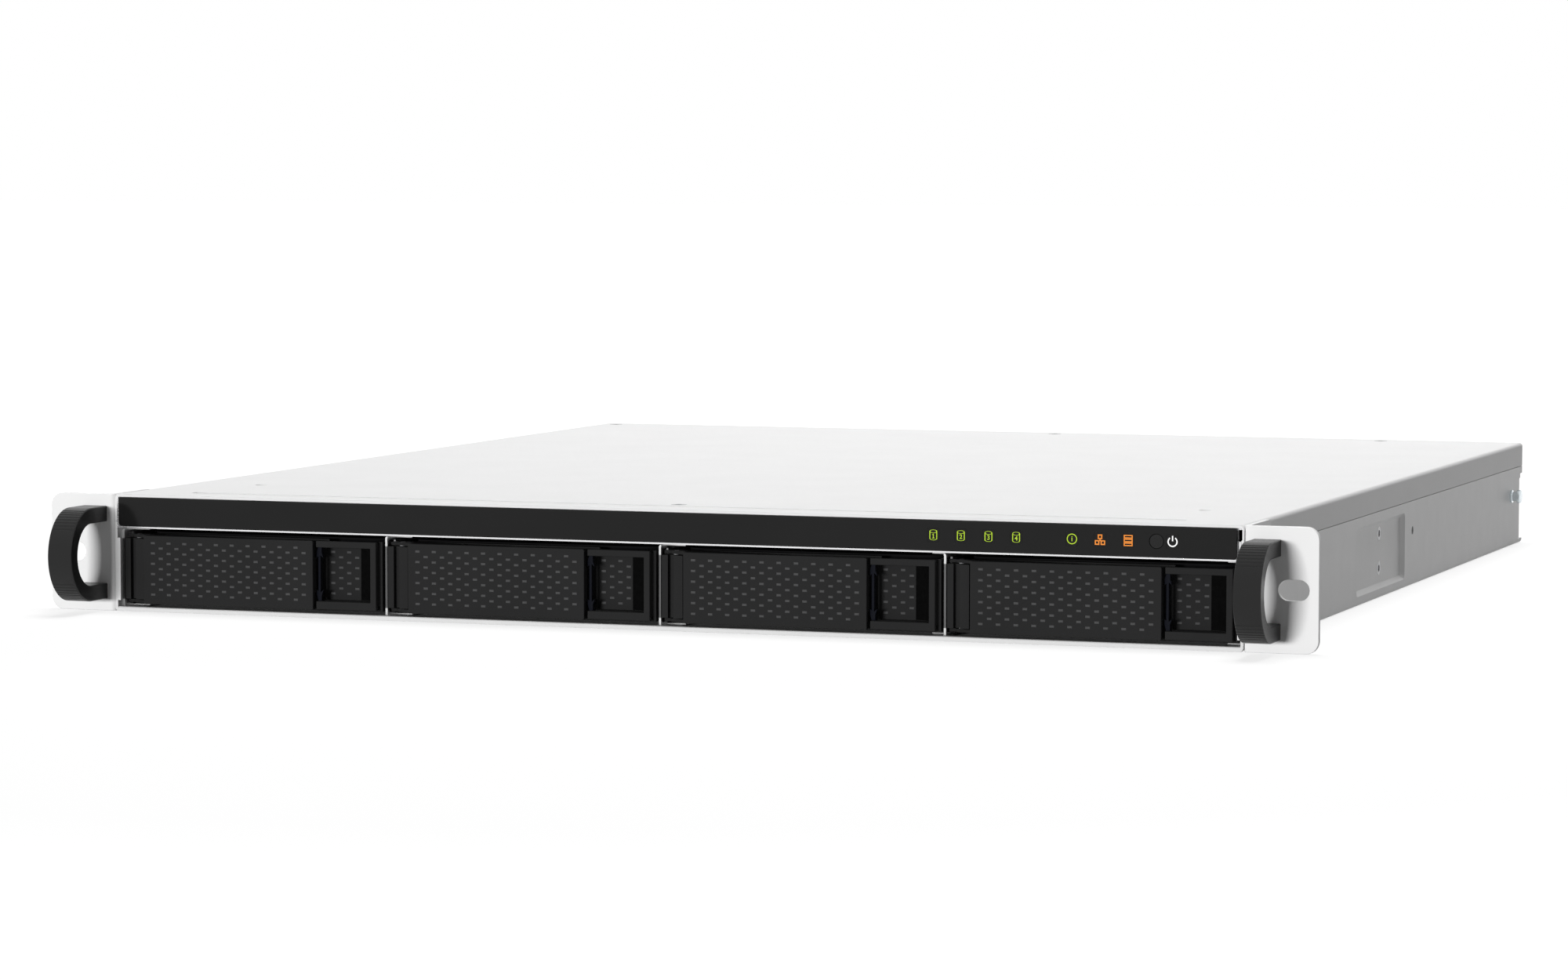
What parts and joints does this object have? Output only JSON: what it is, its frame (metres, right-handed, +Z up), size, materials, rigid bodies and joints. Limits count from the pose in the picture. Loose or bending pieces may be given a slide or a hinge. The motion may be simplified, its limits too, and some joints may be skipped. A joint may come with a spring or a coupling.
{
  "type": "rackmount storage server",
  "caption": "Flat rackmount network storage unit with pull-out drive trays under a black status bar, rack ears with bow handles and a removable lid.",
  "frame": {"origin": "midway between the centres of the two rack-ear slots, on the front face of the ears", "axes": "+X to the right seen from the front, +Y to the back of the unit, +Z up"},
  "size_m": [0.4826, 0.5214, 0.0434],
  "materials": {
    "cover_paint": "light grey satin powder coat",
    "ear_paint": "near-white satin coat",
    "chassis_steel": "matt zinc-plated sheet",
    "bright_sheet": "bright plated sheet",
    "fascia_black": "satin black",
    "tray_black": "fine matt texture",
    "latch_dark": "smooth dark blue-grey",
    "grip_black": "satin, grooved corners",
    "smoked_window": "smoked, with lit symbols",
    "button_black": "satin black",
    "screw_steel": "plated",
    "drive_metal": "cast base and pressed lid",
    "board_green": "solder-masked circuit board",
    "socket_plastic": "black connector plastic",
    "socket_metal": "bright shield",
    "heatsink_metal": "extruded fins",
    "fan_plastic": "black fan plastic",
    "supply_case": "plated case with folded lid",
    "lead_rubber": "black sleeve"
  },
  "bodies": {
    "chassis": {"chassis_pan": "chassis_steel", "rail_studs": "screw_steel", "top_cover": "cover_paint", "cover_screws": "screw_steel", "front_frame": "bright_sheet", "fascia_panel": "fascia_black", "indicator_windows": "smoked_window", "front_panel_board": "board_green", "left_rack_ear": "ear_paint", "right_rack_ear": "ear_paint", "left_handle": "grip_black", "right_handle": "grip_black", "handle_screws": "screw_steel", "ear_screws": "screw_steel", "bay_dividers": "bright_sheet", "backplane_board": "board_green", "backplane_sockets": "socket_plastic", "fan_wall": "bright_sheet", "side_screws": "screw_steel", "fan_screws": "screw_steel", "fan_1_frame": "fan_plastic", "fan_2_frame": "fan_plastic", "main_board": "board_green", "board_standoffs": "screw_steel", "board_screws": "screw_steel", "processor_heatsink": "heatsink_metal", "memory_module": "board_green", "network_sockets": "socket_metal", "fibre_cages": "socket_metal", "usb_sockets": "socket_metal", "rear_panel": "chassis_steel", "slot_cover": "bright_sheet", "psu_case": "supply_case", "psu_inlet": "socket_plastic", "psu_fan_frame": "fan_plastic", "psu_lead": "lead_rubber"},
    "fan_1_spinner": {"fan_1_rotor": "fan_plastic"},
    "fan_2_spinner": {"fan_2_rotor": "fan_plastic"},
    "button": {"power_button": "button_black"},
    "psu_fan_spinner": {"psu_fan_rotor": "fan_plastic"},
    "tray_1": {"tray_1_carrier": "tray_black", "tray_1_fasteners": "screw_steel", "hard_drive_1": "drive_metal"},
    "lever_1": {"tray_1_lever": "tray_black"},
    "latch_1": {"tray_1_latch": "latch_dark"},
    "tray_2": {"tray_2_carrier": "tray_black", "tray_2_fasteners": "screw_steel", "hard_drive_2": "drive_metal"},
    "lever_2": {"tray_2_lever": "tray_black"},
    "latch_2": {"tray_2_latch": "latch_dark"},
    "tray_3": {"tray_3_carrier": "tray_black", "tray_3_fasteners": "screw_steel", "hard_drive_3": "drive_metal"},
    "lever_3": {"tray_3_lever": "tray_black"},
    "latch_3": {"tray_3_latch": "latch_dark"},
    "tray_4": {"tray_4_carrier": "tray_black", "tray_4_fasteners": "screw_steel", "hard_drive_4": "drive_metal"},
    "lever_4": {"tray_4_lever": "tray_black"},
    "latch_4": {"tray_4_latch": "latch_dark"}
  },
  "joints": [
    {"name": "power_button_press", "type": "slide", "parent": "chassis", "child": "button", "axis": [0, 1, 0], "range_m": [0, 0.001], "stiffness_N_per_m": 800},
    {"name": "fan_1_spin", "type": "hinge", "parent": "chassis", "child": "fan_1_spinner", "pos_m": [-0.09, 0.2274, -0.00055], "axis": [0, 1, 0], "continuous": true},
    {"name": "fan_2_spin", "type": "hinge", "parent": "chassis", "child": "fan_2_spinner", "pos_m": [0.04, 0.2274, -0.00055], "axis": [0, 1, 0], "continuous": true},
    {"name": "psu_fan_spin", "type": "hinge", "parent": "chassis", "child": "psu_fan_spinner", "pos_m": [0.1395, 0.48, -0.00055], "axis": [0, 1, 0], "continuous": true},
    {"name": "tray_1_slide", "type": "slide", "parent": "chassis", "child": "tray_1", "axis": [0, -1, 0], "range_m": [0, 0.15]},
    {"name": "lever_1_hinge", "type": "hinge", "parent": "tray_1", "child": "lever_1", "pos_m": [-0.2084, 0.007, -0.0061], "axis": [0, 0, -1], "range_deg": [0, 65]},
    {"name": "latch_1_slide", "type": "slide", "parent": "tray_1", "child": "latch_1", "axis": [1, 0, 0], "range_m": [0, 0.0016], "stiffness_N_per_m": 800},
    {"name": "tray_2_slide", "type": "slide", "parent": "chassis", "child": "tray_2", "axis": [0, -1, 0], "range_m": [0, 0.15]},
    {"name": "lever_2_hinge", "type": "hinge", "parent": "tray_2", "child": "lever_2", "pos_m": [-0.1016, 0.007, -0.0061], "axis": [0, 0, -1], "range_deg": [0, 65]},
    {"name": "latch_2_slide", "type": "slide", "parent": "tray_2", "child": "latch_2", "axis": [1, 0, 0], "range_m": [0, 0.0016], "stiffness_N_per_m": 800},
    {"name": "tray_3_slide", "type": "slide", "parent": "chassis", "child": "tray_3", "axis": [0, -1, 0], "range_m": [0, 0.15]},
    {"name": "lever_3_hinge", "type": "hinge", "parent": "tray_3", "child": "lever_3", "pos_m": [0.0052, 0.007, -0.0061], "axis": [0, 0, -1], "range_deg": [0, 65]},
    {"name": "latch_3_slide", "type": "slide", "parent": "tray_3", "child": "latch_3", "axis": [1, 0, 0], "range_m": [0, 0.0016], "stiffness_N_per_m": 800},
    {"name": "tray_4_slide", "type": "slide", "parent": "chassis", "child": "tray_4", "axis": [0, -1, 0], "range_m": [0, 0.15]},
    {"name": "lever_4_hinge", "type": "hinge", "parent": "tray_4", "child": "lever_4", "pos_m": [0.112, 0.007, -0.0061], "axis": [0, 0, -1], "range_deg": [0, 65]},
    {"name": "latch_4_slide", "type": "slide", "parent": "tray_4", "child": "latch_4", "axis": [1, 0, 0], "range_m": [0, 0.0016], "stiffness_N_per_m": 800}
  ]
}
